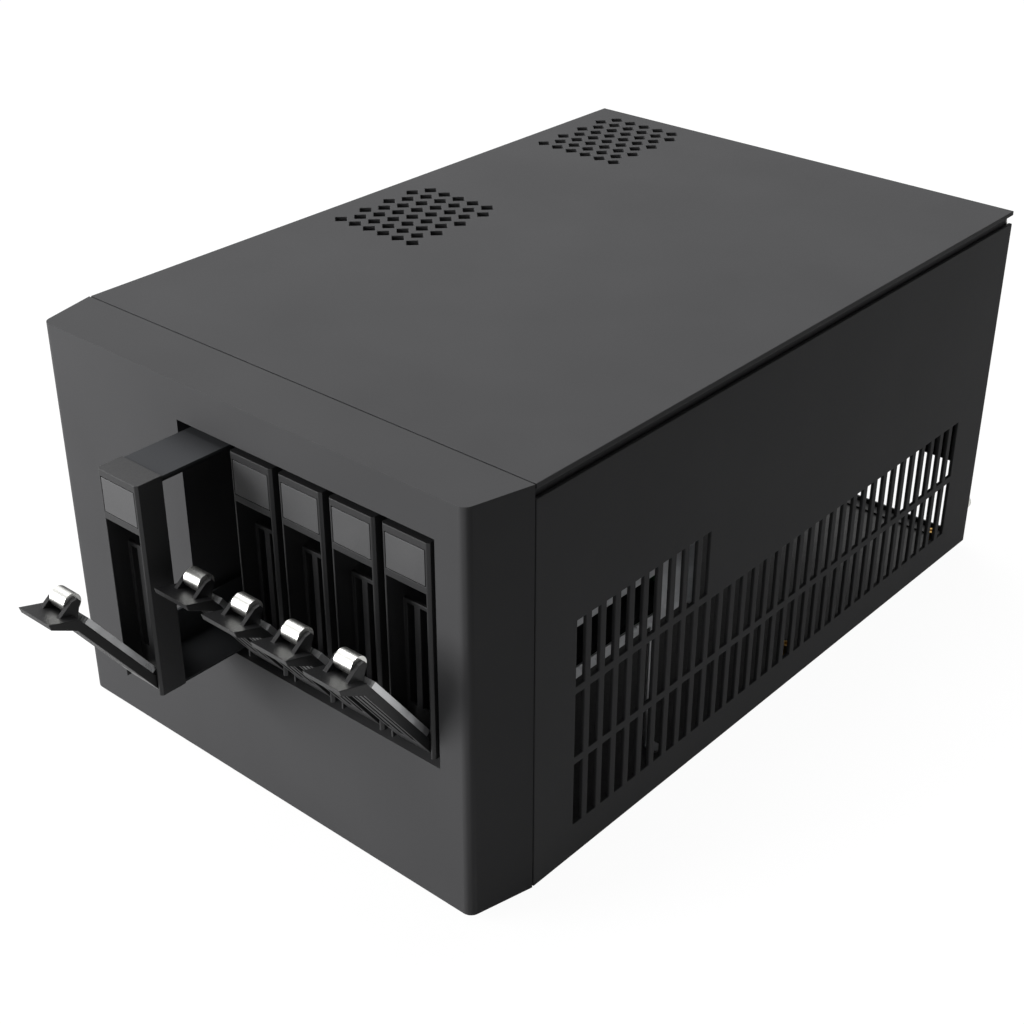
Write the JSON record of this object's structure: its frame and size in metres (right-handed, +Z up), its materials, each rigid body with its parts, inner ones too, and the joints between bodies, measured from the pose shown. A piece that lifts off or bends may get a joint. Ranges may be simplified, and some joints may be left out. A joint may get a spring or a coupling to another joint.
{
  "type": "home server pc case",
  "caption": "Low wide computer case in black aluminium with hot-swap drive trays in its front, each with a swing lever, and vents in the top and sides.",
  "frame": {"origin": "middle of the floor area that the case and its drawn-out tray cover", "axes": "+X to the right seen from the front, +Y to the rear, +Z up"},
  "size_m": [0.278, 0.5252, 0.209],
  "materials": {
    "panel_aluminium": "black satin anodised",
    "chassis_steel": "black powder coat",
    "cage_steel": "bright zinc plated sheet",
    "tray_plastic": "dark grey moulded, fine grain",
    "pad_plastic": "grey moulded, fine grain",
    "lever_plastic": "black moulded",
    "caddy_aluminium": "dark grey anodised sheet",
    "strip_aluminium": "natural satin",
    "roller_steel": "nickel plated",
    "screw_steel": "nickel plated",
    "standoff_brass": "turned",
    "foot_rubber": "black, matt",
    "fan_plastic": "black moulded",
    "guide_plastic": "black moulded",
    "board": "green solder mask",
    "socket_plastic": "black moulded"
  },
  "bodies": {
    "case": {"front_panel": "panel_aluminium", "top_cover": "panel_aluminium", "right_side_panel": "panel_aluminium", "left_side_panel": "panel_aluminium", "bottom_panel": "chassis_steel", "front_wall": "chassis_steel", "rear_panel": "chassis_steel", "power_supply_ledge": "chassis_steel", "card_slot_cover_1": "cage_steel", "card_slot_cover_2": "cage_steel", "cage_right_wall": "cage_steel", "cage_left_wall": "cage_steel", "cage_floor": "cage_steel", "cage_roof": "cage_steel", "lower_guide": "guide_plastic", "upper_guide": "guide_plastic", "backplane": "board", "drive_sockets": "socket_plastic", "fan_frame": "fan_plastic", "board_standoffs": "standoff_brass", "rear_thumbscrews": "screw_steel", "foot_1": "foot_rubber", "foot_2": "foot_rubber", "foot_3": "foot_rubber", "foot_4": "foot_rubber"},
    "fan_rotor": {"fan_rotor": "fan_plastic"},
    "power_button": {"power_button": "panel_aluminium"},
    "tray_1": {"tray_1_bezel": "tray_plastic", "tray_1_caddy": "caddy_aluminium"},
    "lever_1": {"tray_1_lever": "lever_plastic", "tray_1_strip": "strip_aluminium", "tray_1_roller": "roller_steel"},
    "release_1": {"tray_1_button": "pad_plastic"},
    "tray_2": {"tray_2_bezel": "tray_plastic", "tray_2_caddy": "caddy_aluminium"},
    "lever_2": {"tray_2_lever": "lever_plastic", "tray_2_strip": "strip_aluminium", "tray_2_roller": "roller_steel"},
    "release_2": {"tray_2_button": "pad_plastic"},
    "tray_3": {"tray_3_bezel": "tray_plastic", "tray_3_caddy": "caddy_aluminium"},
    "lever_3": {"tray_3_lever": "lever_plastic", "tray_3_strip": "strip_aluminium", "tray_3_roller": "roller_steel"},
    "release_3": {"tray_3_button": "pad_plastic"},
    "tray_4": {"tray_4_bezel": "tray_plastic", "tray_4_caddy": "caddy_aluminium"},
    "lever_4": {"tray_4_lever": "lever_plastic", "tray_4_strip": "strip_aluminium", "tray_4_roller": "roller_steel"},
    "release_4": {"tray_4_button": "pad_plastic"},
    "tray_5": {"tray_5_bezel": "tray_plastic", "tray_5_caddy": "caddy_aluminium"},
    "lever_5": {"tray_5_lever": "lever_plastic", "tray_5_strip": "strip_aluminium", "tray_5_roller": "roller_steel"},
    "release_5": {"tray_5_button": "pad_plastic"}
  },
  "joints": [
    {"name": "tray_1_slide", "type": "slide", "parent": "case", "child": "tray_1", "axis": [0, -1, 0], "range_m": [-0.046, 0.074]},
    {"name": "lever_1_hinge", "type": "hinge", "parent": "tray_1", "child": "lever_1", "pos_m": [-0.0223, -0.21039, 0.084], "axis": [1, 0, 0], "range_deg": [-36, 0]},
    {"name": "release_1_press", "type": "slide", "parent": "tray_1", "child": "release_1", "axis": [0, 1, 0], "range_m": [0, 0.002], "stiffness_N_per_m": 600},
    {"name": "tray_2_slide", "type": "slide", "parent": "case", "child": "tray_2", "axis": [0, -1, 0], "range_m": [0, 0.12]},
    {"name": "lever_2_hinge", "type": "hinge", "parent": "tray_2", "child": "lever_2", "pos_m": [0.008, -0.16439, 0.084], "axis": [1, 0, 0], "range_deg": [-36, 0]},
    {"name": "release_2_press", "type": "slide", "parent": "tray_2", "child": "release_2", "axis": [0, 1, 0], "range_m": [0, 0.002], "stiffness_N_per_m": 600},
    {"name": "tray_3_slide", "type": "slide", "parent": "case", "child": "tray_3", "axis": [0, -1, 0], "range_m": [0, 0.12]},
    {"name": "lever_3_hinge", "type": "hinge", "parent": "tray_3", "child": "lever_3", "pos_m": [0.0383, -0.16439, 0.084], "axis": [1, 0, 0], "range_deg": [-36, 0]},
    {"name": "release_3_press", "type": "slide", "parent": "tray_3", "child": "release_3", "axis": [0, 1, 0], "range_m": [0, 0.002], "stiffness_N_per_m": 600},
    {"name": "tray_4_slide", "type": "slide", "parent": "case", "child": "tray_4", "axis": [0, -1, 0], "range_m": [0, 0.12]},
    {"name": "lever_4_hinge", "type": "hinge", "parent": "tray_4", "child": "lever_4", "pos_m": [0.0686, -0.16439, 0.084], "axis": [1, 0, 0], "range_deg": [-36, 0]},
    {"name": "release_4_press", "type": "slide", "parent": "tray_4", "child": "release_4", "axis": [0, 1, 0], "range_m": [0, 0.002], "stiffness_N_per_m": 600},
    {"name": "tray_5_slide", "type": "slide", "parent": "case", "child": "tray_5", "axis": [0, -1, 0], "range_m": [0, 0.12]},
    {"name": "lever_5_hinge", "type": "hinge", "parent": "tray_5", "child": "lever_5", "pos_m": [0.0989, -0.16439, 0.084], "axis": [1, 0, 0], "range_deg": [-36, 0]},
    {"name": "release_5_press", "type": "slide", "parent": "tray_5", "child": "release_5", "axis": [0, 1, 0], "range_m": [0, 0.002], "stiffness_N_per_m": 600},
    {"name": "fan_spin", "type": "hinge", "parent": "case", "child": "fan_rotor", "pos_m": [0.052, 0.24991, 0.132], "axis": [0, 1, 0], "continuous": true},
    {"name": "power_button_press", "type": "slide", "parent": "case", "child": "power_button", "axis": [0.9701, 0.2425, 0], "range_m": [0, 0.0009], "stiffness_N_per_m": 600}
  ]
}
